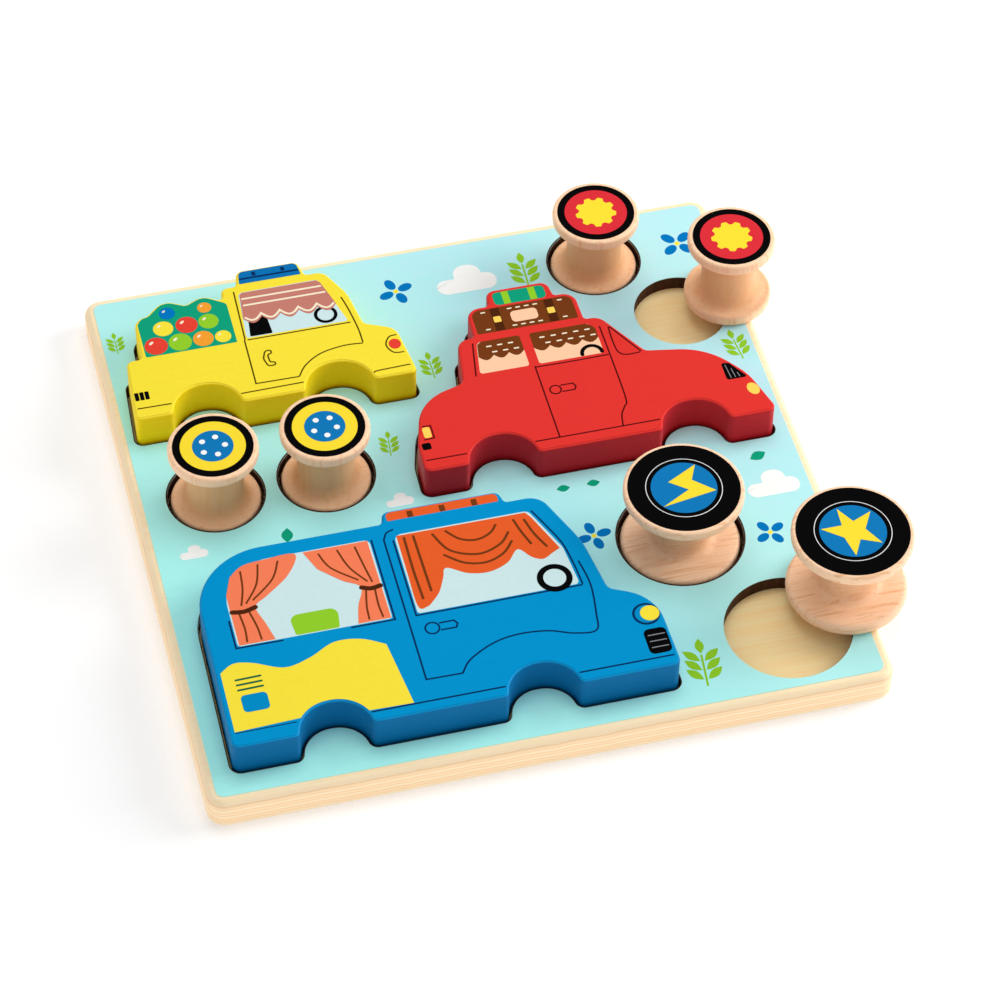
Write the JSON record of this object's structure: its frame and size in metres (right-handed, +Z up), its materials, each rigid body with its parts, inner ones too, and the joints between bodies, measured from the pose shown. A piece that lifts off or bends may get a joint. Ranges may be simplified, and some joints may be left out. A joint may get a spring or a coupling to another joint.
{
  "type": "peg puzzle",
  "caption": "Square wooden puzzle board with vehicle-shaped and round recesses, thick painted vehicles that lift out, and turned spool wheels with printed tops.",
  "frame": {"origin": "middle of the board's underside, on the surface that the board lies on", "axes": "+Z up out of the board's printed face, +X along the vehicles towards their fronts, +Y from their wheels towards their roofs"},
  "size_m": [0.2763, 0.26, 0.0464],
  "materials": {
    "base_ply": "sanded plywood, clear matte lacquer",
    "frame_ply": "sanded plywood, clear matte lacquer",
    "board_print": "printed sheet, satin",
    "yellow_paint": "satin paint",
    "yellow_print": "printed sheet, satin",
    "red_paint": "satin paint",
    "red_print": "printed sheet, satin",
    "blue_paint": "satin paint",
    "blue_print": "printed sheet, satin",
    "turned_wood": "turned beech, clear matte lacquer",
    "yellow_disc": "printed disc, satin",
    "red_disc": "printed disc, satin",
    "black_disc": "printed disc, satin"
  },
  "bodies": {
    "board": {"base_plate": "base_ply", "frame_plate": "frame_ply", "face_sheet": "board_print"},
    "truck": {"truck_block": "yellow_paint", "truck_print": "yellow_print"},
    "car": {"car_block": "red_paint", "car_print": "red_print"},
    "van": {"van_block": "blue_paint", "van_print": "blue_print"},
    "truck_rear_wheel": {"truck_rear_spool": "turned_wood", "truck_rear_disc": "yellow_disc"},
    "truck_front_wheel": {"truck_front_spool": "turned_wood", "truck_front_disc": "yellow_disc"},
    "car_rear_wheel": {"car_rear_spool": "turned_wood", "car_rear_disc": "red_disc"},
    "car_front_wheel": {"car_front_spool": "turned_wood", "car_front_disc": "red_disc"},
    "van_rear_wheel": {"van_rear_spool": "turned_wood", "van_rear_disc": "black_disc"},
    "van_front_wheel": {"van_front_spool": "turned_wood", "van_front_disc": "black_disc"}
  },
  "joints": [
    {"name": "truck_lift", "type": "slide", "parent": "board", "child": "truck", "axis": [0, 0, 1], "range_m": [0, 0.06]},
    {"name": "car_lift", "type": "slide", "parent": "board", "child": "car", "axis": [0, 0, 1], "range_m": [0, 0.06]},
    {"name": "van_lift", "type": "slide", "parent": "board", "child": "van", "axis": [0, 0, 1], "range_m": [0, 0.06]},
    {"name": "truck_rear_wheel_lift", "type": "slide", "parent": "board", "child": "truck_rear_wheel", "axis": [0, 0, 1], "range_m": [0, 0.06]},
    {"name": "truck_front_wheel_lift", "type": "slide", "parent": "board", "child": "truck_front_wheel", "axis": [0, 0, 1], "range_m": [0, 0.06]},
    {"name": "car_rear_wheel_lift", "type": "slide", "parent": "board", "child": "car_rear_wheel", "axis": [0, 0, 1], "range_m": [0, 0.06]},
    {"name": "car_front_wheel_lift", "type": "slide", "parent": "board", "child": "car_front_wheel", "axis": [0, 0, 1], "range_m": [0, 0.06]},
    {"name": "van_rear_wheel_lift", "type": "slide", "parent": "board", "child": "van_rear_wheel", "axis": [0, 0, 1], "range_m": [0, 0.06]},
    {"name": "van_front_wheel_lift", "type": "slide", "parent": "board", "child": "van_front_wheel", "axis": [0, 0, 1], "range_m": [0, 0.06]}
  ]
}
